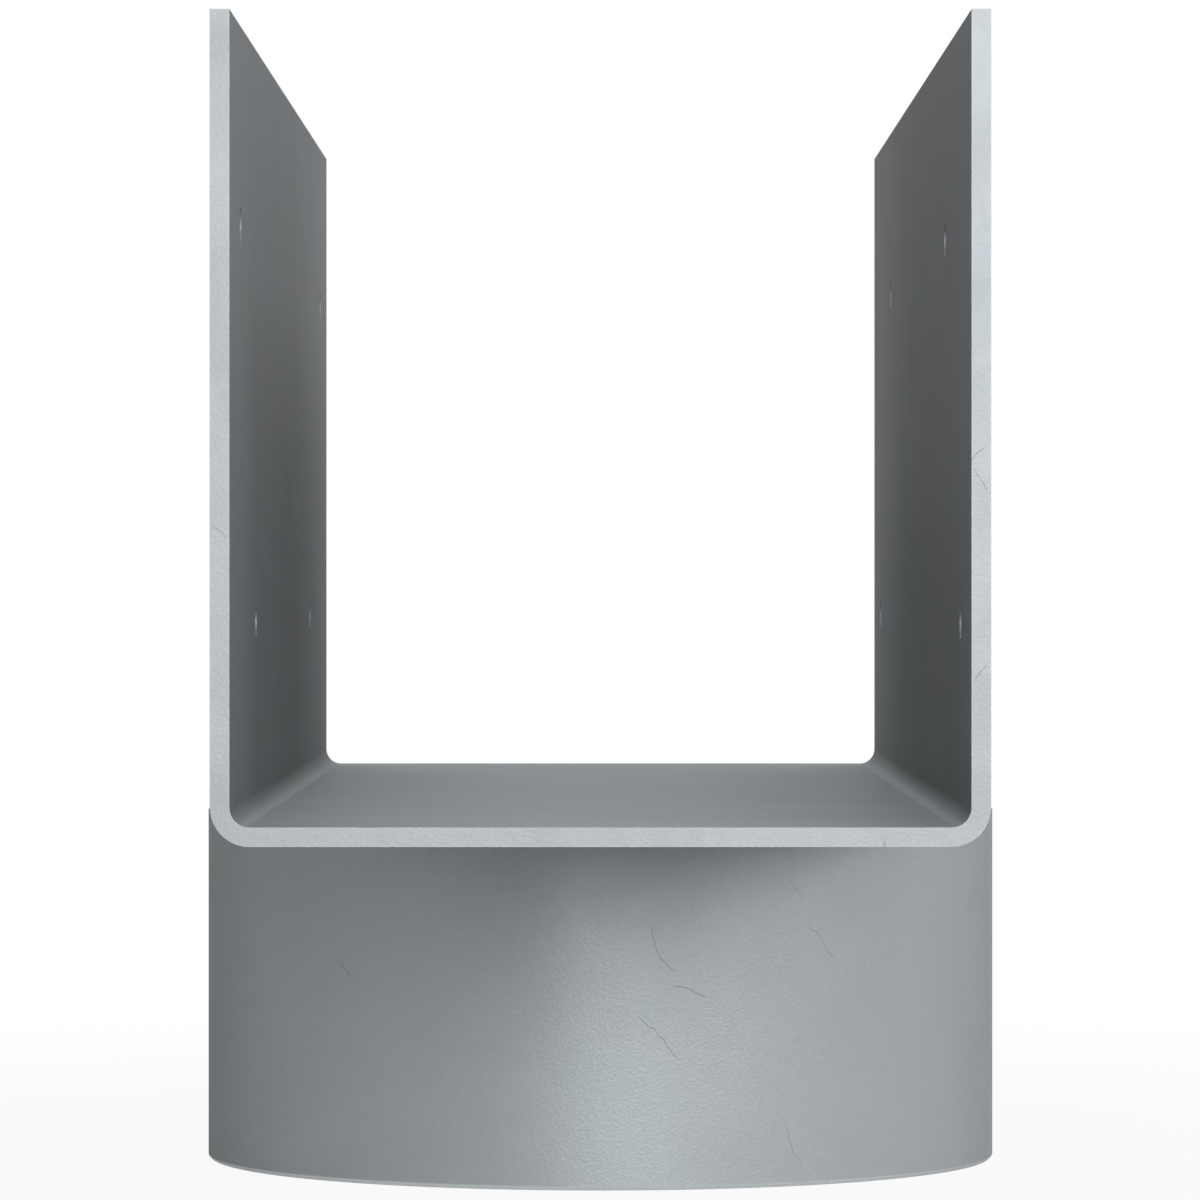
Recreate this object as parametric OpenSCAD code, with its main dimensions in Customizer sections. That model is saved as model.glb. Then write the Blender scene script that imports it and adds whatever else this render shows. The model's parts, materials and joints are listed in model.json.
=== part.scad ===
// Column cap for a round column: a folded steel saddle that cradles a beam,
// welded on top of a short pipe sleeve that slips over the column.
// Millimetres. The origin is the centre of the sleeve's bottom rim, +Z is up
// and the beam runs along Y.

/* [Saddle] */
// Clear width between the side plates, for the beam
seat_w = 92.08; // [78:0.02:150]
// Length of the saddle along the beam
saddle_l = 292.1; // [190:0.1:600]
// Height of the side plates above the seat
plate_h = 101.6; // [70:0.1:300]
// Thickness of the folded plate
plate_t = 2.46; // [1.5:0.02:6]
// Inside radius of the two bends
bend_r = 2.46; // [1.2:0.02:8]

/* [Nail holes] */
// Diameter of a nail hole
hole_d = 4.37; // [3:0.01:10]
// Height of the lower row of holes above the seat
lower_row = 25.4; // [16:0.1:36]
// Drop from the top edge of a side plate to the upper row of holes
upper_row = 25.4; // [8:0.1:45]
// Distance from the end of the saddle to the wide-set pair of holes
wide_pair = 25.4; // [8:0.1:50]
// Distance from the end of the saddle to the close-set pair of holes
close_pair = 63.5; // [38:0.1:130]

/* [Sleeve] */
// Bore of the sleeve, over the column
sleeve_bore = 102.26; // [80:0.02:120]
// Wall of the sleeve
sleeve_wall = 6.02; // [2.5:0.02:10]
// Height of the sleeve
sleeve_h = 50.8; // [25:0.1:200]
// Deburring chamfer on the edges of the sleeve's bottom rim
rim_chamfer = 0.5; // [0.2:0.1:1]

/* [Welds] */
// Leg of the fillet weld between sleeve and saddle
weld_leg = 3; // [2:0.1:6]
// How far the face of the weld bulges past a flat fillet
weld_crown = 0.35; // [0.1:0.05:0.45]

/* [Hidden] */
$fn = 96;

// Outside of the saddle, and the height of its underside
saddle_w = seat_w + 2 * plate_t;
outer_bend_r = bend_r + plate_t;
underside_z = sleeve_h;
seat_z = underside_z + plate_t;
top_z = seat_z + plate_h;

// Outside radius of the sleeve
sleeve_r = sleeve_bore / 2 + sleeve_wall;

// Half of the flat of the underside, between the bends, which the welds stay on
flat_half_w = saddle_w / 2 - outer_bend_r;

// Each weld ends where the flat does, or at this angle round the sleeve where the
// saddle is wider than the sleeve
weld_arc_limit = 75;
weld_half_w = min(flat_half_w, sleeve_r * sin(weld_arc_limit));

// Radius of a weld's round ends, a little more than its leg
weld_end_ratio = 1.25;
weld_end_r = weld_end_ratio * weld_leg;

// Radius of the weld's round face, and how far its centre lies from the root along
// each leg: the face passes through the two toes and bulges by the crown between them
weld_chord = weld_leg * sqrt(2);
weld_face_r = (pow(weld_chord / 2, 2) + pow(weld_crown, 2)) / (2 * weld_crown);
weld_face_inset = (weld_chord / 2 - weld_face_r + weld_crown) / sqrt(2);

// A cutter runs past the faces that it cuts by this much
cut_past = 1;

// Solid outline of a trough of width w, with round bottom corners of radius r,
// standing on the X axis
module trough(w, r, h) {
    translate([-w / 2, r]) square([w, h - r]);
    translate([-w / 2 + r, 0]) square([w - 2 * r, h]);
    for (side = [-1, 1])
        translate([side * (w / 2 - r), r]) circle(r);
}

// Section across the saddle: one thickness all the way round the bends
module folded_section() {
    difference() {
        trough(saddle_w, outer_bend_r, plate_t + plate_h);
        translate([0, plate_t]) trough(seat_w, bend_r, plate_h + cut_past);
    }
}

// One nail hole through the plate on the given side, at y and z
module nail_hole(side, y, z) {
    translate([side * (saddle_w / 2 + cut_past), y, z])
        rotate([0, -side * 90, 0])
            cylinder(d = hole_d, h = plate_t + 2 * cut_past);
}

// Two holes in one row, the same distance from either end of the saddle
module hole_pair(side, from_end, z) {
    for (end = [-1, 1])
        nail_hole(side, end * (saddle_l / 2 - from_end), z);
}

// Folded plate. The rows are staggered from one plate to the other, so that
// nails driven from both sides miss each other in the beam.
module saddle() {
    color("lightsteelblue")
        difference() {
            translate([0, saddle_l / 2, underside_z])
                rotate([90, 0, 0]) linear_extrude(saddle_l) folded_section();
            hole_pair(-1, wide_pair, top_z - upper_row);
            hole_pair(-1, close_pair, seat_z + lower_row);
            hole_pair(1, close_pair, top_z - upper_row);
            hole_pair(1, wide_pair, seat_z + lower_row);
        }
}

// Cut length of round pipe, deburred inside and outside at the bottom
module sleeve() {
    bore_r = sleeve_bore / 2;
    color("slategray")
        rotate_extrude()
            polygon([
                [bore_r + rim_chamfer, 0],
                [sleeve_r - rim_chamfer, 0],
                [sleeve_r, rim_chamfer],
                [sleeve_r, sleeve_h],
                [bore_r, sleeve_h],
                [bore_r, rim_chamfer]
            ]);
}

// Section of the fillet weld, with its root at the origin: the part of the face's
// circle that lies right of the sleeve's wall and below the saddle's underside
module weld_section() {
    intersection() {
        translate([0, -weld_face_r]) square(weld_face_r);
        translate([weld_face_inset, -weld_face_inset]) circle(weld_face_r);
    }
}

// What the weld keeps to when it is seen from the end of the saddle: straight
// along the underside, and rounded up to it at either end
module weld_outline() {
    end_x = weld_half_w - weld_end_r;
    translate([-end_x, -weld_end_r]) square(2 * [end_x, weld_end_r]);
    for (end = [-1, 1])
        translate([end * end_x, 0]) circle(weld_end_r);
}

// Fillet weld round the side of the sleeve that faces this way, in degrees from +X
module weld_bead(facing) {
    color("gray")
        translate([0, 0, underside_z])
            rotate([0, 0, facing])
                intersection() {
                    rotate_extrude() translate([sleeve_r, 0]) weld_section();
                    rotate([90, 0, 90]) linear_extrude(sleeve_r + weld_face_r) weld_outline();
                }
}

module front_weld() {
    weld_bead(-90);
}

module rear_weld() {
    weld_bead(90);
}

saddle();
sleeve();
front_weld();
rear_weld();
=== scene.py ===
"""Looks of a column cap: a folded steel saddle for a beam, welded on a short sleeve of round pipe.

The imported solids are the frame. The saddle and the sleeve keep their shape and get softly broken edges
and a coat of grey paint, and each smooth weld solid is replaced by a bead with the ripples of a hand-laid
weld. Lengths are in metres, except where a name ends in _MM.
"""
import json
import math

import bmesh
import bpy
import numpy as np
from bpy.props import FloatProperty, FloatVectorProperty, IntProperty, PointerProperty
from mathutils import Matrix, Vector


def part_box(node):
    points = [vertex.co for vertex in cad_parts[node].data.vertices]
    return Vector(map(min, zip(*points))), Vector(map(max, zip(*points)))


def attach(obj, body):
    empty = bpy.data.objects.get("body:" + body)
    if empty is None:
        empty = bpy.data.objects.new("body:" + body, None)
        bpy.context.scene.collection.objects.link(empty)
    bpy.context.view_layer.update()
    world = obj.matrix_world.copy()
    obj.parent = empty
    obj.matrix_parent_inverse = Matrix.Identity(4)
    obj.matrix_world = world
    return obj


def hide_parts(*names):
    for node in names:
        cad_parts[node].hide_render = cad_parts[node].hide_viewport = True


bl_info = {
    "name": "Column Cap",
    "version": (1, 0, 0),
    "blender": (4, 5, 0),
    "location": "3D View > Sidebar > Column Cap",
    "description": "Paints a column cap, lays its weld beads and sets a plain studio round it",
    "category": "Object",
}

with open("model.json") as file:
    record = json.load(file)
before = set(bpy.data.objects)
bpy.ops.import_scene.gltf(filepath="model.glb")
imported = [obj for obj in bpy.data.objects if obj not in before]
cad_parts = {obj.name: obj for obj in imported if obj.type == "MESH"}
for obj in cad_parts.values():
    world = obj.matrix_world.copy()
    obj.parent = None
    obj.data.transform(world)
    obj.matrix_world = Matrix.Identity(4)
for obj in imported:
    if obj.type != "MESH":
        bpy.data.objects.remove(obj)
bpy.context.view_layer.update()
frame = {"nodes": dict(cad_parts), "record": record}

MM = 0.001
BODY = "root"

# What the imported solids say
SADDLE_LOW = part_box("saddle")[0]
SLEEVE_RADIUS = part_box("sleeve")[1].x
WELD_LOW, WELD_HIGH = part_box("front_weld")
UNDERSIDE_Z = SADDLE_LOW.z
WELD_LEG = WELD_HIGH.z - WELD_LOW.z
WELD_HALF_WIDTH = WELD_HIGH.x
SLOT_COLOUR = {m["slot"]: tuple(m["base_color"]) for m in frame["record"]["materials"]}

# Sizes of the sleeve that its box doesn't show
SLEEVE_WALL = 6.02 * MM
RIM_CHAMFER = 0.5 * MM

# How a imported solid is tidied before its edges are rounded
JOIN_DISTANCE = 0.002 * MM
FLAT_ANGLE = math.radians(0.2)
SHARP_ANGLE = math.radians(40)

# The camera, in the reference picture's own 1200 px frame: its focal length, and the point where lines
# that run straight back meet
PICTURE_PX = 1200
FOCAL_PX = 6644
VANISHING_PX = (600.45, 582.56)
SENSOR_MM = 36


# Settings


class PaintSettings(bpy.types.PropertyGroup):
    """The coat of grey paint on the plate, the sleeve and the welds."""

    saddle_colour: FloatVectorProperty(
        name="Saddle colour", description="Grey of the folded plate", subtype="COLOR",
        size=3, min=0, max=1, default=SLOT_COLOUR["folded_plate"],
    )
    sleeve_colour: FloatVectorProperty(
        name="Sleeve colour", description="Grey of the pipe sleeve", subtype="COLOR",
        size=3, min=0, max=1, default=SLOT_COLOUR["pipe_sleeve"],
    )
    weld_colour: FloatVectorProperty(
        name="Weld colour", description="Grey of the paint over the weld beads", subtype="COLOR",
        size=3, min=0, max=1, default=SLOT_COLOUR["weld_bead"],
    )
    plate_shade: FloatVectorProperty(
        name="Plate shade", description="Share of plate and weld grey left where steel shines through",
        subtype="COLOR", size=3, min=0, max=1, default=(0.805, 0.755, 0.76),
    )
    sleeve_shade: FloatVectorProperty(
        name="Sleeve shade", description="Share of the sleeve's grey left where steel shines through",
        subtype="COLOR", size=3, min=0, max=1, default=(1.0, 0.975, 0.98),
    )
    plate_metal: FloatProperty(
        name="Plate metal share", description="How much of the plate's coat reflects as bare steel does",
        subtype="FACTOR", min=0, max=1, default=0.7,
    )
    plate_roughness: FloatProperty(
        name="Plate roughness", description="Roughness of the coat on the plate and the welds",
        subtype="FACTOR", min=0, max=1, default=0.48,
    )
    sleeve_metal: FloatProperty(
        name="Sleeve metal share", description="How much of the sleeve's coat reflects as bare steel does",
        subtype="FACTOR", min=0, max=1, default=0.32,
    )
    sleeve_roughness: FloatProperty(
        name="Sleeve roughness", description="Roughness of the coat on the sleeve",
        subtype="FACTOR", min=0, max=1, default=0.37,
    )
    plate_rim: FloatProperty(
        name="Plate rim shine", description="How much of its shine the plate keeps where it turns away",
        subtype="FACTOR", min=0, max=1, default=0.02,
    )
    sleeve_rim: FloatProperty(
        name="Sleeve rim shine", description="How much of its shine the sleeve keeps where it turns away",
        subtype="FACTOR", min=0, max=1, default=0.55,
    )
    grain_size: FloatProperty(
        name="Grain size", description="Width of one wrinkle of the leathery grain",
        unit="LENGTH", min=0.1 * MM, max=5 * MM, default=0.34 * MM, precision=5,
    )
    grain_height: FloatProperty(
        name="Grain height", description="Height of the grain, from trough to crest",
        unit="LENGTH", min=0, max=0.1 * MM, default=0.018 * MM, precision=6,
    )
    scratch_depth: FloatProperty(
        name="Scratch depth", description="Depth of the hair scratches",
        unit="LENGTH", min=0, max=0.1 * MM, default=0.03 * MM, precision=6,
    )


class PlateSettings(bpy.types.PropertyGroup):
    """The broken edges of the plate and the sleeve."""

    edge_round: FloatProperty(
        name="Edge rounding", description="How far a cut edge is broken under the paint",
        unit="LENGTH", min=0.02 * MM, max=0.5 * MM, default=0.16 * MM, precision=5,
    )
    edge_steps: IntProperty(
        name="Edge steps", description="Faces across a broken edge", min=1, max=6, default=3,
    )


class WeldSettings(bpy.types.PropertyGroup):
    """The hand-laid fillet beads between sleeve and saddle."""

    ripple_pitch: FloatProperty(
        name="Ripple pitch", description="Distance from one ripple to the next along the bead",
        unit="LENGTH", min=0.5 * MM, max=4 * MM, default=1.55 * MM, precision=5,
    )
    ripple_height: FloatProperty(
        name="Ripple height", description="Height of a ripple over the valleys beside it",
        unit="LENGTH", min=0, max=0.4 * MM, default=0.16 * MM, precision=5,
    )
    crown: FloatProperty(
        name="Crown", description="How far the bead's face bulges past a flat fillet",
        unit="LENGTH", min=0, max=0.6 * MM, default=0.3 * MM, precision=5,
    )
    wander: FloatProperty(
        name="Wander", description="How much the bead's legs shrink where the hand ran fast",
        subtype="FACTOR", min=0, max=0.4, default=0.12,
    )


class StageSettings(bpy.types.PropertyGroup):
    """Floor, lamps and camera."""

    floor_colour: FloatVectorProperty(
        name="Floor colour", description="Colour of the pale floor", subtype="COLOR",
        size=3, min=0, max=1, default=(0.6, 0.6, 0.6),
    )
    floor_size: FloatProperty(
        name="Floor size", description="Side of the square floor",
        unit="LENGTH", min=1, max=200, default=60,
    )
    camera_back: FloatProperty(
        name="Camera distance", description="Distance of the camera in front of the sleeve's axis",
        unit="LENGTH", min=0.3, max=10, default=0.97062, precision=4,
    )
    camera_height: FloatProperty(
        name="Camera height", description="Height of the camera above the floor",
        unit="LENGTH", min=0, max=2, default=0.08365, precision=4,
    )


class CapSettings(bpy.types.PropertyGroup):
    """Everything that a user may change before the pieces are made."""

    paint: PointerProperty(type=PaintSettings)
    plate: PointerProperty(type=PlateSettings)
    weld: PointerProperty(type=WeldSettings)
    stage: PointerProperty(type=StageSettings)


# Node trees


class NodeBench:
    """Adds nodes to one tree, with their settings and inputs given where they are added."""

    def __init__(self, tree):
        self.tree = tree

    def feed(self, socket, value):
        """Links value to the socket if it is an output, and sets it there if it is a plain value."""
        if isinstance(value, bpy.types.NodeSocket):
            self.tree.links.new(value, socket)
        elif value is not None:
            socket.default_value = value

    def add(self, kind, *inputs, settings=None, **named):
        """A new node: its settings, then its inputs in their own order, then its inputs by name."""
        node = self.tree.nodes.new(kind)
        for name, value in (settings or {}).items():
            setattr(node, name, value)
        for socket, value in zip(node.inputs, inputs):
            self.feed(socket, value)
        for name, value in named.items():
            self.feed(node.inputs[name.replace("_", " ")], value)
        return node

    def math(self, operation, *values, clamp=False):
        """The result of one Math node."""
        settings = {"operation": operation, "use_clamp": clamp}
        return self.add("ShaderNodeMath", *values, settings=settings).outputs[0]

    def vector(self, operation, *values, scale=None):
        """The result of one Vector Math node: a number for dot product, length and distance."""
        node = self.add("ShaderNodeVectorMath", *values, settings={"operation": operation})
        if scale is not None:
            self.feed(node.inputs["Scale"], scale)
        number = operation in ("DOT_PRODUCT", "LENGTH", "DISTANCE")
        return node.outputs["Value" if number else "Vector"]

    def fade(self, value, start, end, low=0.0, high=1.0):
        """Low up to start, high from end on, and smooth between them."""
        node = self.add("ShaderNodeMapRange", settings={"interpolation_type": "SMOOTHSTEP"})
        for name, number in (("Value", value), ("From Min", start), ("From Max", end),
                             ("To Min", low), ("To Max", high)):
            self.feed(node.inputs[name], number)
        return node.outputs["Result"]

    def noise(self, vector, scale, detail=2.0, roughness=0.5, distortion=0.0):
        """A Noise Texture node."""
        return self.add(
            "ShaderNodeTexNoise", settings={"noise_dimensions": "3D", "normalize": True},
            Vector=vector, Scale=scale, Detail=detail, Roughness=roughness, Distortion=distortion,
        )

    def place(self, group, **inputs):
        """A node group, with its own values."""
        return self.add("ShaderNodeGroup", settings={"node_tree": group}, **inputs)


def new_effect(name, inputs, outputs):
    """An empty shader node group with these sockets: its bench, its inputs and its output node.

    Each socket is a name, a kind and, for an input, a default."""
    group = bpy.data.node_groups.new(name, "ShaderNodeTree")
    for socket_name, kind, default in inputs:
        socket = group.interface.new_socket(
            name=socket_name, in_out="INPUT", socket_type=f"NodeSocket{kind}"
        )
        if default is not None:
            socket.default_value = default
    for socket_name, kind in outputs:
        group.interface.new_socket(name=socket_name, in_out="OUTPUT", socket_type=f"NodeSocket{kind}")
    bench = NodeBench(group)
    entry = bench.add("NodeGroupInput").outputs
    return group, bench, entry, bench.add("NodeGroupOutput")


# The two tints that the coat drifts between
WARM_TINT = (1.006, 1.0, 0.995)
COOL_TINT = (0.994, 1.0, 1.005)


def paint_tone_effect():
    """Slow drifts of the coat: its grey goes a little lighter, darker, cooler and warmer over tens of
    millimetres, and its gloss drifts with a noise of its own. Fine specks go over both."""
    group, bench, entry, leave = new_effect(
        "Paint tone",
        [("Vector", "Vector", None), ("Colour", "Color", (0.4, 0.4, 0.4, 1)), ("Roughness", "Float", 0.4),
         ("Drift size", "Float", 0.03), ("Drift", "Float", 0.06)],
        [("Colour", "Color"), ("Roughness", "Float")],
    )
    specks_per_drift = 80.0
    speck_share = 1.7
    gloss_swing = 0.08
    speck_gloss_swing = 0.06
    scale = bench.math("DIVIDE", 1.0, entry["Drift size"])
    slow = bench.noise(entry["Vector"], scale, detail=3.0, roughness=0.6).outputs["Fac"]
    fine = bench.math("MULTIPLY", scale, specks_per_drift)
    speck = bench.noise(entry["Vector"], fine, detail=2.0).outputs["Fac"]
    moved = bench.vector("ADD", entry["Vector"], (0.31, 0.17, 0.53))
    gloss = bench.noise(moved, bench.math("MULTIPLY", scale, 2.0), detail=3.0).outputs["Fac"]
    swing = bench.math("SUBTRACT", slow, 0.5)
    swing = bench.math("MULTIPLY_ADD", bench.math("SUBTRACT", speck, 0.5), speck_share, swing)
    level = bench.math("MULTIPLY_ADD", swing, bench.math("MULTIPLY", entry["Drift"], 2.0), 1.0)
    tinted = bench.vector("SCALE", entry["Colour"], scale=level)
    warm = bench.vector("MULTIPLY", tinted, WARM_TINT)
    cool = bench.vector("MULTIPLY", tinted, COOL_TINT)
    colour = bench.add("ShaderNodeMix", settings={"data_type": "VECTOR", "factor_mode": "UNIFORM"})
    bench.feed(colour.inputs[0], bench.fade(gloss, 0.3, 0.7))
    bench.feed(colour.inputs[4], warm)
    bench.feed(colour.inputs[5], cool)
    bench.feed(leave.inputs["Colour"], colour.outputs[1])
    rough = bench.math("MULTIPLY_ADD", bench.math("SUBTRACT", gloss, 0.5), gloss_swing, entry["Roughness"])
    rough = bench.math("MULTIPLY_ADD", bench.math("SUBTRACT", speck, 0.5), speck_gloss_swing, rough)
    bench.feed(leave.inputs["Roughness"], rough)
    return group


def leather_grain_effect():
    """The leathery skin of thick paint: an even fine orange peel, and over it patches in which the skin
    has drawn up into short wrinkles. A wrinkle is a crease where a bent noise passes through its middle
    value. The height stays round 0, from the bottom of a crease to the peel's crests."""
    group, bench, entry, leave = new_effect(
        "Leather grain",
        [("Vector", "Vector", None), ("Size", "Float", 0.00034), ("Patch size", "Float", 0.012),
         ("Wrinkles", "Float", 0.6)],
        [("Height", "Float"), ("Patches", "Float")],
    )
    peel_height, patch_peel_height = 2.0, 2.4
    peels_per_size, folds_per_size = 0.9, 0.55
    crease_width = 0.07
    scale = bench.math("DIVIDE", 1.0, entry["Size"])
    peels = bench.math("MULTIPLY", scale, peels_per_size)
    folds = bench.math("MULTIPLY", scale, folds_per_size)
    peel = bench.noise(entry["Vector"], peels, detail=2.0, roughness=0.5)
    fold = bench.noise(entry["Vector"], folds, detail=2.0, roughness=0.6, distortion=1.2)
    off = bench.math("ABSOLUTE", bench.math("SUBTRACT", fold.outputs["Fac"], 0.5))
    crease = bench.fade(off, 0.0, crease_width)
    spread = bench.math("DIVIDE", 1.0, entry["Patch size"])
    patch = bench.noise(entry["Vector"], spread, detail=3.0, roughness=0.6, distortion=0.6)
    patches = bench.fade(patch.outputs["Fac"], 0.42, 0.66)
    share = bench.math("MULTIPLY", patches, entry["Wrinkles"])
    drop = bench.math("MULTIPLY", bench.math("SUBTRACT", crease, 1.0), share)
    peak = bench.math("SUBTRACT", peel.outputs["Fac"], 0.5)
    stretch = bench.fade(patches, 0, 1, peel_height, patch_peel_height)
    height = bench.math("MULTIPLY_ADD", stretch, peak, drop)
    bench.feed(leave.inputs["Height"], height)
    bench.feed(leave.inputs["Patches"], patches)
    return group


def stray_scratches_effect():
    """Hair scratches that lie anywhere. Space is split into cells. A share of the cells holds a thin sheet
    with a direction of its own, and the scratch is where the sheet cuts the surface near the cell's
    middle. A slow noise bends it."""
    group, bench, entry, leave = new_effect(
        "Stray scratches",
        [("Vector", "Vector", None), ("Spacing", "Float", 0.02), ("Length", "Float", 0.009),
         ("Width", "Float", 0.0001), ("Share", "Float", 0.35)],
        [("Mask", "Float")],
    )
    bends_per_metre, bend = 160.0, 6 * MM
    sway = bench.noise(entry["Vector"], bends_per_metre, detail=2.0).outputs["Color"]
    sway = bench.vector("SCALE", bench.vector("SUBTRACT", sway, (0.5, 0.5, 0.5)), scale=bend)
    bent = bench.vector("ADD", entry["Vector"], sway)
    count = bench.math("DIVIDE", 1.0, entry["Spacing"])
    spread = bench.vector("SCALE", bent, scale=count)
    cells = bench.add(
        "ShaderNodeTexVoronoi", settings={"voronoi_dimensions": "3D", "feature": "F1"},
        Vector=spread, Scale=1.0, Randomness=1.0,
    )
    middle = cells.outputs["Position"]
    away = bench.vector("SCALE", bench.vector("SUBTRACT", spread, middle), scale=entry["Spacing"])
    facing = bench.vector("SUBTRACT", cells.outputs["Color"], (0.5, 0.5, 0.5))
    facing = bench.vector("NORMALIZE", facing)
    off = bench.math("ABSOLUTE", bench.vector("DOT_PRODUCT", away, facing))
    line = bench.fade(off, bench.math("MULTIPLY", entry["Width"], 0.3), entry["Width"], 1.0, 0.0)
    half = bench.math("MULTIPLY", entry["Length"], 0.5)
    reach = bench.fade(bench.vector("LENGTH", away), bench.math("MULTIPLY", half, 0.6), half, 1.0, 0.0)
    lot = bench.add("ShaderNodeTexWhiteNoise", settings={"noise_dimensions": "3D"}, Vector=middle)
    chosen = bench.math("LESS_THAN", lot.outputs["Value"], entry["Share"])
    bench.feed(leave.inputs["Mask"], bench.math("MULTIPLY", bench.math("MULTIPLY", line, reach), chosen))
    return group


def bowed_scratch_effect():
    """One hair scratch at a given place on a surface that is laid out flat: a parabola over the chord from
    Start to End, as high as Bow at its middle, which thins out to nothing at its two ends."""
    group, bench, entry, leave = new_effect(
        "Bowed scratch",
        [("Layout", "Vector", None), ("Start", "Vector", (0, 0, 0)), ("End", "Vector", (0.01, 0, 0)),
         ("Bow", "Float", 0.0), ("Width", "Float", 0.0001)],
        [("Mask", "Float")],
    )
    chord = bench.vector("SUBTRACT", entry["End"], entry["Start"])
    length = bench.vector("LENGTH", chord)
    along = bench.vector("NORMALIZE", chord)
    across = bench.vector("CROSS_PRODUCT", (0, 0, 1), along)
    reach = bench.vector("SUBTRACT", entry["Layout"], entry["Start"])
    share = bench.math("DIVIDE", bench.vector("DOT_PRODUCT", reach, along), length)
    rise = bench.math("MULTIPLY", share, bench.math("SUBTRACT", 1.0, share))
    rise = bench.math("MULTIPLY", bench.math("MULTIPLY", rise, 4.0), entry["Bow"])
    off = bench.math("SUBTRACT", bench.vector("DOT_PRODUCT", reach, across), rise)
    off = bench.math("ABSOLUTE", off)
    line = bench.fade(off, bench.math("MULTIPLY", entry["Width"], 0.3), entry["Width"], 1.0, 0.0)
    middle = bench.math("ABSOLUTE", bench.math("SUBTRACT", share, 0.5))
    taper = bench.fade(middle, 0.25, 0.5, 1.0, 0.0)
    bench.feed(leave.inputs["Mask"], bench.math("MULTIPLY", line, taper))
    return group


def edge_wear_and_highlight_effect():
    """Lighter along an edge, partly as rubbed coat and partly as a painted highlight of the rounded edge.
    The normal of a softened edge leaves the surface's own normal there, and a fine noise breaks the line up."""
    group, bench, entry, leave = new_effect(
        "Edge wear and highlight",
        [("Vector", "Vector", None), ("Width", "Float", 0.0003), ("Break up", "Float", 0.25)],
        [("Mask", "Float")],
    )
    soft = bench.add("ShaderNodeBevel", settings={"samples": 4}, Radius=entry["Width"])
    own = bench.add("ShaderNodeNewGeometry").outputs["Normal"]
    meet = bench.vector("DOT_PRODUCT", soft.outputs["Normal"], own)
    edge = bench.fade(meet, 0.75, 0.99, 1.0, 0.0)
    flaws_per_metre = 700.0
    flaws = bench.noise(entry["Vector"], flaws_per_metre, detail=3.0, roughness=0.6).outputs["Fac"]
    flaws = bench.fade(flaws, 0.35, 0.6)
    left = bench.math("SUBTRACT", 1.0, entry["Break up"])
    broken = bench.math("MULTIPLY_ADD", flaws, entry["Break up"], left)
    bench.feed(leave.inputs["Mask"], bench.math("MULTIPLY", edge, broken))
    return group


def effect(name):
    """The node group of that name, made on its first use."""
    makers = {
        "Paint tone": paint_tone_effect,
        "Leather grain": leather_grain_effect,
        "Stray scratches": stray_scratches_effect,
        "Bowed scratch": bowed_scratch_effect,
        "Edge wear and highlight": edge_wear_and_highlight_effect,
    }
    return bpy.data.node_groups.get(name) or makers[name]()


# Scratches that the picture shows, each as its start, its end and its bow to the left of that way, in
# millimetres. On the sleeve they are laid out as distance round the wall from its front line, and height.
# On the saddle's front edge they are laid out as X and Z.
SLEEVE_SCRATCHES_MM = (
    ((6.5, 37.2), (11.1, 29.0), -0.9),
    ((9.2, 28.0), (15.8, 26.5), 0.3),
    ((4.6, 25.0), (11.7, 16.6), 0.5),
    ((26.6, 42.5), (29.7, 38.7), 0.3),
    ((29.0, 37.4), (34.9, 30.6), 0.2),
    ((26.3, 9.0), (29.4, 2.6), -0.6),
    ((-41.0, 31.5), (-36.5, 28.2), 0.3),
)
FRONT_EDGE_SCRATCHES_MM = (
    ((45.9, 98.5), (47.8, 100.5), 0.1),
    ((46.9, 97.9), (48.2, 94.6), -0.2),
    ((46.0, 71.3), (48.3, 74.2), -0.2),
    ((-48.3, 91.2), (-46.3, 88.4), 0.2),
)

# Their width, how far and how often they sway, and how far inside its face a scratch is still drawn
SCRATCH_WIDTH = 0.085 * MM
SCRATCH_SWAY = 2.4 * MM
SWAYS_PER_METRE = 260.0
FACE_DEPTH = 0.4 * MM


def millimetres(point):
    """A flat point in millimetres as a vector in metres."""
    return (point[0] * MM, point[1] * MM, 0.0)


def sleeve_layout(bench, position):
    """The sleeve's wall rolled out flat: distance round it from the front line, and height. Also how far
    a point lies inside the wall's outside."""
    parts = bench.add("ShaderNodeSeparateXYZ", position).outputs
    angle = bench.math("ARCTAN2", parts["X"], bench.math("MULTIPLY", parts["Y"], -1.0))
    round_it = bench.math("MULTIPLY", angle, SLEEVE_RADIUS)
    outside = bench.vector("LENGTH", bench.vector("MULTIPLY", position, (1, 1, 0)))
    away = bench.math("SUBTRACT", SLEEVE_RADIUS, outside)
    return bench.add("ShaderNodeCombineXYZ", round_it, parts["Z"], 0.0).outputs[0], away


def front_edge_layout(bench, position):
    """The saddle's front edge as it faces the camera: X, and height. Also how far a point lies behind it."""
    parts = bench.add("ShaderNodeSeparateXYZ", position).outputs
    away = bench.math("SUBTRACT", parts["Y"], SADDLE_LOW.y)
    return bench.add("ShaderNodeCombineXYZ", parts["X"], parts["Z"], 0.0).outputs[0], away


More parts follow.
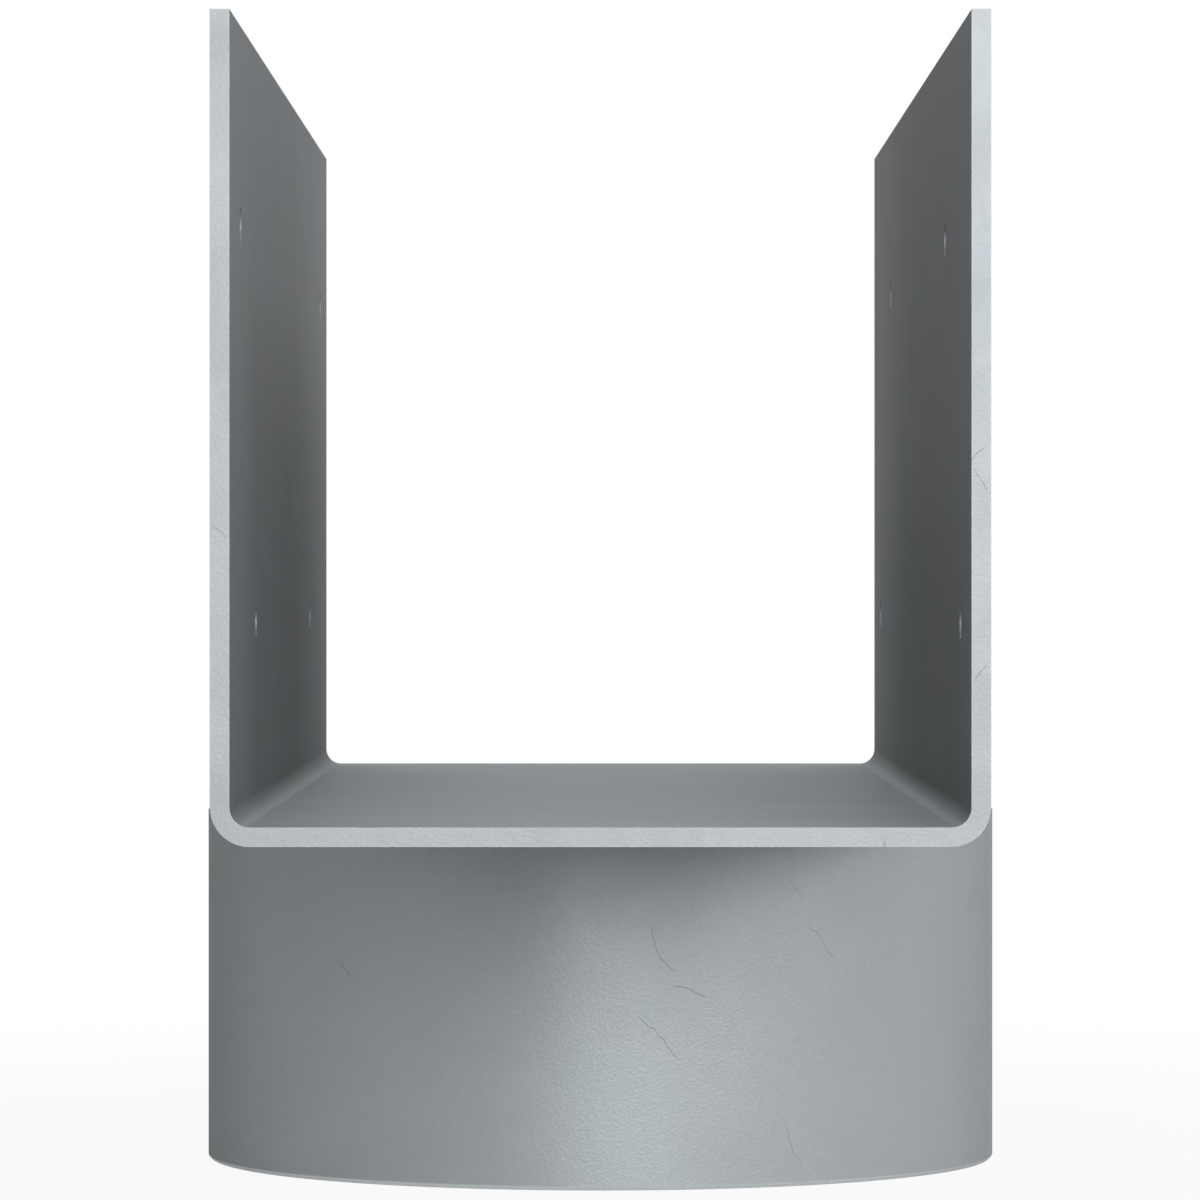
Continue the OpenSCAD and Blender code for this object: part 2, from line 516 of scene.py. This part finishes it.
def placed_scratches(bench, position, layout, scratches):
    """The mask of all scratches of one list, which sway a little and keep to the face that is laid out."""
    flat, away = layout(bench, position)
    sway = bench.noise(position, SWAYS_PER_METRE, detail=2.0).outputs["Color"]
    sway = bench.vector("SCALE", bench.vector("SUBTRACT", sway, (0.5, 0.5, 0.5)), scale=SCRATCH_SWAY)
    flat = bench.vector("ADD", flat, bench.vector("MULTIPLY", sway, (1, 1, 0)))
    total = None
    for start, end, bow in scratches:
        mask = bench.place(
            effect("Bowed scratch"), Layout=flat, Start=millimetres(start), End=millimetres(end),
            Bow=bow * MM, Width=SCRATCH_WIDTH,
        ).outputs["Mask"]
        total = mask if total is None else bench.math("MAXIMUM", total, mask)
    on_face = bench.math("LESS_THAN", away, FACE_DEPTH)
    return bench.math("MULTIPLY", total, on_face)


def shaded(colour, shade):
    """A colour times a shade, channel by channel."""
    return tuple(grey * left for grey, left in zip(colour, shade))


# How a place differs from the sound coat: worn with a painted highlight along edges, given painted light at
# the foot, scratched or wrinkled
LIGHTER_FOR_WEAR_AND_PAINTED_LIGHT = 0.35
METAL_FOR_WEAR_AND_PAINTED_LIGHT = 0.3
SCRATCH_DARKER = 0.2
SCRATCH_ROUGHER = 0.12
WRINKLE_ROUGHER = 0.03


def painted_steel(
    name, colour, paint, metal, roughness, rim, grain=1.0, wrinkles=0.35, wear_and_highlight=0.5, painted_light_foot=0.0,
    mark=1.0, layout=None, scratches=(),
):
    """Satin grey paint on steel: drifting tone, leathery grain, hair scratches, rubbed edges with a painted
    highlight.

    metal is the share that reflects as steel does, and rim how much of that shine is left at a glance.
    grain is the share of the grain's height, wrinkles the depth of its creases, rub how far the edges are
    lightened, partly as rubbed coat and partly as a painted highlight, and mark how deep the scratches go.
    Up to the height of foot the coat is painted lighter and more steel-like all round: painted light on the
    bottom chamfer, which faces the floor and would otherwise show as a dark line of shade. layout rolls one
    face out flat, for the scratches placed on it."""
    material = bpy.data.materials.new(name)
    material.use_nodes = True
    bench = NodeBench(material.node_tree)
    shader = material.node_tree.nodes["Principled BSDF"]
    position = bench.add("ShaderNodeTexCoord").outputs["Object"]
    tone = bench.place(effect("Paint tone"), Vector=position, Colour=(*colour, 1.0), Roughness=roughness)
    skin = bench.place(
        effect("Leather grain"), Vector=position, Size=paint.grain_size, Wrinkles=wrinkles,
    )
    strays = bench.place(effect("Stray scratches"), Vector=position).outputs["Mask"]
    if scratches:
        strays = bench.math("MAXIMUM", strays, placed_scratches(bench, position, layout, scratches))
    strays = bench.math("MULTIPLY", strays, mark)
    edge = bench.place(effect("Edge wear and highlight"), Vector=position).outputs["Mask"]

    # Edges: lighter and more steel-like, partly rubbed coat and partly a painted highlight of the rounded
    # edge
    wear_and_painted_light = bench.math("MULTIPLY", edge, wear_and_highlight)
    # Painted light: the bottom chamfer, shaded because it faces the floor, is painted lighter and more
    # steel-like
    if painted_light_foot:
        off_floor = bench.add("ShaderNodeSeparateXYZ", position).outputs["Z"]
        wear_and_painted_light = bench.math("MAXIMUM", wear_and_painted_light, bench.fade(off_floor, painted_light_foot, 1.4 * painted_light_foot, 1.0, 0.0))
    level = bench.math("MULTIPLY_ADD", wear_and_painted_light, LIGHTER_FOR_WEAR_AND_PAINTED_LIGHT, 1.0)
    level = bench.math("MULTIPLY_ADD", strays, -SCRATCH_DARKER, level)
    base = bench.vector("SCALE", tone.outputs["Colour"], scale=level)
    bench.feed(shader.inputs["Base Color"], base)
    rough = bench.math("MULTIPLY_ADD", strays, SCRATCH_ROUGHER, tone.outputs["Roughness"])
    rough = bench.math("MULTIPLY_ADD", skin.outputs["Patches"], WRINKLE_ROUGHER, rough)
    bench.feed(shader.inputs["Roughness"], rough)
    steel = bench.math("MULTIPLY_ADD", wear_and_painted_light, METAL_FOR_WEAR_AND_PAINTED_LIGHT, metal, clamp=True)
    bench.feed(shader.inputs["Metallic"], steel)
    shader.inputs["Specular IOR Level"].default_value = 0.0
    shader.inputs["Specular Tint"].default_value = (rim, rim, rim, 1.0)

    height = bench.math("MULTIPLY", skin.outputs["Height"], grain * paint.grain_height / MM)
    height = bench.math("MULTIPLY_ADD", strays, -paint.scratch_depth / MM, height)
    bump = bench.add("ShaderNodeBump", Strength=1.0, Distance=MM, Height=height)
    bench.feed(shader.inputs["Normal"], bump.outputs["Normal"])
    return material


def broken_edge_copy(name, node, plate, material):
    """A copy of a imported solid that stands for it: its loose triangles joined, its round faces smooth and
    its sharp edges rounded."""
    form = bmesh.new()
    form.from_mesh(frame["nodes"][node].data)
    bmesh.ops.remove_doubles(form, verts=form.verts, dist=JOIN_DISTANCE)
    bmesh.ops.dissolve_limit(
        form, angle_limit=FLAT_ANGLE, verts=form.verts, edges=form.edges, delimit={"NORMAL"},
    )
    for edge in form.edges:
        edge.smooth = edge.calc_face_angle(0.0) < SHARP_ANGLE
    mesh = bpy.data.meshes.new(name)
    form.to_mesh(mesh)
    form.free()
    if "custom_normal" in mesh.attributes:
        mesh.attributes.remove(mesh.attributes["custom_normal"])
    mesh.materials.clear()
    mesh.materials.append(material)
    mesh.polygons.foreach_set("use_smooth", [True] * len(mesh.polygons))
    mesh.polygons.foreach_set("material_index", [0] * len(mesh.polygons))
    piece = bpy.data.objects.new(name, mesh)
    bpy.context.scene.collection.objects.link(piece)
    bevel = piece.modifiers.new("Broken edges", "BEVEL")
    bevel.width = plate.edge_round
    bevel.segments = plate.edge_steps
    bevel.limit_method = "ANGLE"
    bevel.angle_limit = SHARP_ANGLE
    bevel.harden_normals = True
    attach(piece, BODY)
    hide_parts(node)
    return piece


# Weld beads


def bead_points(weld):
    """Points of one bead as rings, and of its two tips.

    u is the way along the bead as an angle round the sleeve, from -end to end, and v the way round the
    section. Over the face, v carries a point from the toe on the sleeve to the toe on the saddle along
    the straight line between them, and lifts it off that line by 4v(1 - v) times the crown and the
    ripple. A ripple is a hump, 1 - (2f - 1)^2 with f the share of its pitch, whose crest runs back at
    the toes as a crescent does. Both legs follow size(u): a slow wander along the bead, and a quarter
    ellipse down to nothing at either tip. From the saddle's toe the section goes back to the root and
    down the sleeve's wall."""
    rings_per_ripple = 12
    face_points = 25
    tip = 1.25 * WELD_LEG
    short_wave, long_wave, beat_wave = 4.1 * MM, 9.7 * MM, 3.3 * MM
    unsteady, crescent = 0.18, 0.9  # in pitches: how far the beat wanders and how far a ripple bows
    spare_ripples = 6
    across = np.linspace(0.0, 1.0, face_points)
    end = math.asin(WELD_HALF_WIDTH / (SLEEVE_RADIUS + WELD_LEG))
    run = 2 * end * SLEEVE_RADIUS
    ripples = int(run / weld.ripple_pitch)
    rings = ripples * rings_per_ripple
    angle = np.linspace(-end, end, rings + 2)[1:-1, None]
    distance = angle * SLEEVE_RADIUS

    past = np.clip((np.abs(distance) - (run / 2 - tip)) / tip, 0.0, 1.0)
    slow = 0.5 + 0.25 * np.sin(distance / short_wave + 0.6) + 0.25 * np.sin(distance / long_wave + 2.0)
    size = np.sqrt(1.0 - past ** 2) * (1.0 - weld.wander * slow)

    lift = 4 * across * (1 - across)
    random = np.random.default_rng(11)
    beat = distance / weld.ripple_pitch + unsteady * np.sin(distance / beat_wave) + crescent * lift
    count = ripples + spare_ripples
    strength = random.uniform(0.65, 1.0, count)[np.floor(beat).astype(int) + count // 2]
    hump = 1 - (2 * (beat - np.floor(beat)) - 1) ** 2
    bulge = (weld.crown + weld.ripple_height * (strength * hump - 1)) * lift * size

    diagonal = math.sqrt(0.5)
    face_out = WELD_LEG * size * across + diagonal * bulge
    face_down = WELD_LEG * size * (1 - across) + diagonal * bulge
    quarters = np.array([0.25, 0.5, 0.75])
    none = np.zeros((rings, 1))
    leg = WELD_LEG * size
    out = np.concatenate([face_out, leg * quarters[::-1], none, none * quarters], axis=1)
    down = np.concatenate([face_down, none * quarters, none, leg * quarters], axis=1)
    radius = SLEEVE_RADIUS + out
    points = np.stack([radius * np.sin(angle), -radius * np.cos(angle), UNDERSIDE_Z - down], axis=2)
    tips = [(SLEEVE_RADIUS * math.sin(a), -SLEEVE_RADIUS * math.cos(a), UNDERSIDE_Z) for a in (-end, end)]
    return points, np.array(tips)


def closed_tube(points, tips):
    """Vertices and faces of a tube of rings that closes in a tip at either end, wound to face outwards."""
    rings, around = points.shape[:2]
    vertices = np.concatenate([points.reshape(-1, 3), tips])
    ring, step = np.meshgrid(np.arange(rings - 1), np.arange(around), indexing="ij")
    after = (step + 1) % around
    quads = np.stack([
        ring * around + step, ring * around + after, (ring + 1) * around + after, (ring + 1) * around + step,
    ], axis=2).reshape(-1, 4)
    first = np.arange(around)
    second = (first + 1) % around
    last = (rings - 1) * around
    start_fan = np.stack([np.full(around, rings * around), second, first], axis=1)
    end_fan = np.stack([np.full(around, rings * around + 1), last + first, last + second], axis=1)
    fans = np.concatenate([start_fan, end_fan])
    a, b, c = (vertices[quads[:, i]] for i in (0, 1, 2))
    if np.einsum("ij,ij->i", a, np.cross(b, c)).sum() < 0:
        quads = quads[:, ::-1]
        fans = fans[:, ::-1]
    return vertices, quads.tolist() + fans.tolist()


def new_piece(name, vertices, faces, material):
    """A smooth-shaded object at the origin, with its place in its mesh."""
    mesh = bpy.data.meshes.new(name)
    mesh.from_pydata(vertices, [], faces)
    mesh.shade_smooth()
    mesh.materials.append(material)
    piece = bpy.data.objects.new(name, mesh)
    bpy.context.scene.collection.objects.link(piece)
    return piece


# Operators


class COLUMNCAP_OT_dress_saddle(bpy.types.Operator):
    """Break the edges of the folded plate and paint it"""

    bl_idname = "columncap.dress_saddle"
    bl_label = "Dress Saddle"

    def execute(self, context):
        settings = context.scene.column_cap
        paint = settings.paint
        colour = shaded(paint.saddle_colour, paint.plate_shade)
        material = painted_steel(
            "Painted plate", colour, paint, paint.plate_metal, paint.plate_roughness,
            rim=paint.plate_rim, grain=0.55, wrinkles=0.2, mark=0.45, layout=front_edge_layout,
            scratches=FRONT_EDGE_SCRATCHES_MM,
        )
        saddle = broken_edge_copy("folded_saddle", "saddle", settings.plate, material)
        return {"FINISHED"}


class COLUMNCAP_OT_dress_sleeve(bpy.types.Operator):
    """Break the edges of the pipe sleeve and paint it"""

    bl_idname = "columncap.dress_sleeve"
    bl_label = "Dress Sleeve"

    def execute(self, context):
        settings = context.scene.column_cap
        paint = settings.paint
        colour = shaded(paint.sleeve_colour, paint.sleeve_shade)
        # Up to the height of the bottom chamfer the sleeve gets painted light against the chamfer's shade
        material = painted_steel(
            "Painted pipe", colour, paint, paint.sleeve_metal, paint.sleeve_roughness,
            rim=paint.sleeve_rim, grain=0.8, painted_light_foot=RIM_CHAMFER, layout=sleeve_layout,
            scratches=SLEEVE_SCRATCHES_MM,
        )
        sleeve = broken_edge_copy("pipe_sleeve", "sleeve", settings.plate, material)
        return {"FINISHED"}


class COLUMNCAP_OT_lay_welds(bpy.types.Operator):
    """Lay a rippled bead in front of the sleeve and behind it, in place of the two smooth ones"""

    bl_idname = "columncap.lay_welds"
    bl_label = "Lay Welds"

    def execute(self, context):
        settings = context.scene.column_cap
        paint = settings.paint
        colour = shaded(paint.weld_colour, paint.plate_shade)
        material = painted_steel(
            "Painted weld", colour, paint, paint.plate_metal, paint.plate_roughness,
            rim=paint.plate_rim, wrinkles=0.2, wear_and_highlight=0.15,
        )
        points, tips = bead_points(settings.weld)
        for node, turn in (("front_weld", 1.0), ("rear_weld", -1.0)):
            half_turn = np.array([turn, turn, 1.0])
            vertices, faces = closed_tube(points * half_turn, tips * half_turn)
            bead = new_piece(node.replace("weld", "bead"), vertices, faces, material)
            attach(bead, BODY)
            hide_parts(node)
        return {"FINISHED"}


def white_to_view(bench):
    """1 for what the camera sees by itself, in a reflection or through glass, and 0 for other light."""
    path = bench.add("ShaderNodeLightPath").outputs
    seen = bench.math("MAXIMUM", path["Is Camera Ray"], path["Is Glossy Ray"])
    return bench.math("MAXIMUM", seen, path["Is Transmission Ray"])


def floor_material(stage):
    """Pale matt floor. To the camera and in reflections it is mostly plain white, with enough of the matt
    floor left for the cap's shadow. Inside the sleeve, where next to no white reaches in, it is nearly all
    matt. From below it isn't there, so that the cap can be seen from there."""
    material = bpy.data.materials.new("Pale floor")
    material.use_nodes = True
    tree = material.node_tree
    tree.nodes.clear()
    bench = NodeBench(tree)
    matt = bench.add("ShaderNodeBsdfDiffuse", Color=(*stage.floor_colour, 1.0)).outputs[0]
    white = bench.add("ShaderNodeEmission", Color=(1, 1, 1, 1), Strength=1.0).outputs[0]
    position = bench.add("ShaderNodeTexCoord").outputs["Object"]
    away = bench.vector("LENGTH", position)
    shadow_start, shadow_end, white_in_shadow = 0.08, 0.35, 0.93
    open_floor = bench.fade(away, shadow_start, shadow_end, white_in_shadow, 1.0)
    bore, bore_edge, white_in_bore = SLEEVE_RADIUS - SLEEVE_WALL, 3 * MM, 0.1
    out_of_bore = bench.fade(away, bore - bore_edge, bore, white_in_bore, 1.0)
    share = bench.math("MULTIPLY", white_to_view(bench), open_floor)
    share = bench.math("MULTIPLY", share, out_of_bore)
    top = bench.add("ShaderNodeMixShader", share, matt, white).outputs[0]
    below = bench.add("ShaderNodeNewGeometry").outputs["Backfacing"]
    nothing = bench.add("ShaderNodeBsdfTransparent").outputs[0]
    both = bench.add("ShaderNodeMixShader", below, top, nothing).outputs[0]
    bench.add("ShaderNodeOutputMaterial", both)
    return material


def studio_world():
    """White to the camera and in reflections, and no light of its own on matt surfaces."""
    world = bpy.data.worlds.new("White surround")
    world.use_nodes = True
    tree = world.node_tree
    tree.nodes.clear()
    bench = NodeBench(tree)
    sky = bench.add("ShaderNodeBackground", Color=(1, 1, 1, 1), Strength=white_to_view(bench))
    bench.add("ShaderNodeOutputWorld", sky.outputs[0])
    return world


# Lamps of the studio: name, direction from the cap as degrees to the right of the camera and degrees up,
# width and height in metres, brightness, where 1 is the brightness of white, and tint
LAMPS = (
    ("Front card", 5.0, 10.0, 0.60, 0.45, 8.2, (0.955, 1.0, 1.02)),
    ("Right card", 32.0, 12.0, 0.40, 0.50, 5.2, (0.96, 1.0, 1.03)),
    ("Right key", 56.0, 15.0, 0.36, 0.40, 6.0, (0.97, 1.0, 1.03)),
    ("Side card", 98.0, 25.0, 0.60, 0.30, 5.2, (1.0, 1.0, 1.0)),
    ("Rear top", 180.0, 54.0, 0.90, 0.70, 5.2, (0.955, 1.0, 1.01)),
    ("Rear card", 180.0, 7.0, 0.60, 0.30, 1.4, (1.0, 1.0, 1.0)),
)
LAMP_DISTANCE = 1.4
LAMP_AIM = Vector((0.0, 0.0, 0.09))


def add_lamp(name, right, up, width, height, brightness, tint):
    """A soft rectangular lamp that faces the cap."""
    lamp = bpy.data.lights.new(name, "AREA")
    lamp.shape = "RECTANGLE"
    lamp.size = width
    lamp.size_y = height
    lamp.energy = brightness * width * height * math.pi
    lamp.color = tint
    turn = math.radians(right)
    rise = math.radians(up)
    way = Vector((math.sin(turn) * math.cos(rise), -math.cos(turn) * math.cos(rise), math.sin(rise)))
    holder = bpy.data.objects.new(name, lamp)
    holder.location = LAMP_AIM + way * LAMP_DISTANCE
    holder.rotation_euler = (-way).to_track_quat("-Z", "Y").to_euler()
    holder.visible_camera = False
    bpy.context.scene.collection.objects.link(holder)


def add_camera(stage):
    """A level camera in front of the cap, with the picture's focal length and vanishing point."""
    lens = bpy.data.cameras.new("Camera")
    lens.sensor_width = SENSOR_MM
    lens.lens = SENSOR_MM * FOCAL_PX / PICTURE_PX
    lens.shift_x = (PICTURE_PX / 2 - VANISHING_PX[0]) / PICTURE_PX
    lens.shift_y = (VANISHING_PX[1] - PICTURE_PX / 2) / PICTURE_PX
    camera = bpy.data.objects.new("Camera", lens)
    camera.location = (0.0, -stage.camera_back, stage.camera_height)
    camera.rotation_euler = (math.radians(90), 0.0, 0.0)
    bpy.context.scene.collection.objects.link(camera)
    bpy.context.scene.camera = camera


class COLUMNCAP_OT_set_stage(bpy.types.Operator):
    """Set the pale floor, the white surround, the soft lamps and the camera"""

    bl_idname = "columncap.set_stage"
    bl_label = "Set Stage"

    def execute(self, context):
        stage = context.scene.column_cap.stage
        half = stage.floor_size / 2
        corners = [(-half, -half, 0.0), (half, -half, 0.0), (half, half, 0.0), (-half, half, 0.0)]
        floor = new_piece("floor", corners, [(0, 1, 2, 3)], floor_material(stage))
        context.scene.world = studio_world()
        context.scene.view_settings.view_transform = "Standard"
        for lamp in LAMPS:
            add_lamp(*lamp)
        add_camera(stage)
        return {"FINISHED"}


class COLUMNCAP_PT_sidebar(bpy.types.Panel):
    """Buttons and settings of the column cap"""

    bl_label = "Column Cap"
    bl_space_type = "VIEW_3D"
    bl_region_type = "UI"
    bl_category = "Column Cap"

    def draw(self, context):
        settings = context.scene.column_cap
        for title, group, operators in (
            ("Plate and sleeve", settings.plate, (COLUMNCAP_OT_dress_saddle, COLUMNCAP_OT_dress_sleeve)),
            ("Paint", settings.paint, ()),
            ("Welds", settings.weld, (COLUMNCAP_OT_lay_welds,)),
            ("Stage", settings.stage, (COLUMNCAP_OT_set_stage,)),
        ):
            box = self.layout.box()
            box.label(text=title)
            for name in group.__annotations__:
                box.prop(group, name)
            for operator in operators:
                box.operator(operator.bl_idname)


CLASSES = (
    PaintSettings, PlateSettings, WeldSettings, StageSettings, CapSettings,
    COLUMNCAP_OT_dress_saddle, COLUMNCAP_OT_dress_sleeve, COLUMNCAP_OT_lay_welds, COLUMNCAP_OT_set_stage,
    COLUMNCAP_PT_sidebar,
)


def register():
    for cls in CLASSES:
        bpy.utils.register_class(cls)
    bpy.types.Scene.column_cap = PointerProperty(type=CapSettings)


def unregister():
    del bpy.types.Scene.column_cap
    for cls in reversed(CLASSES):
        bpy.utils.unregister_class(cls)


def main():
    """Registers the classes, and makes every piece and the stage."""
    register()
    bpy.ops.columncap.dress_saddle()
    bpy.ops.columncap.dress_sleeve()
    bpy.ops.columncap.lay_welds()
    bpy.ops.columncap.set_stage()


if __name__ == "__main__":
    main()
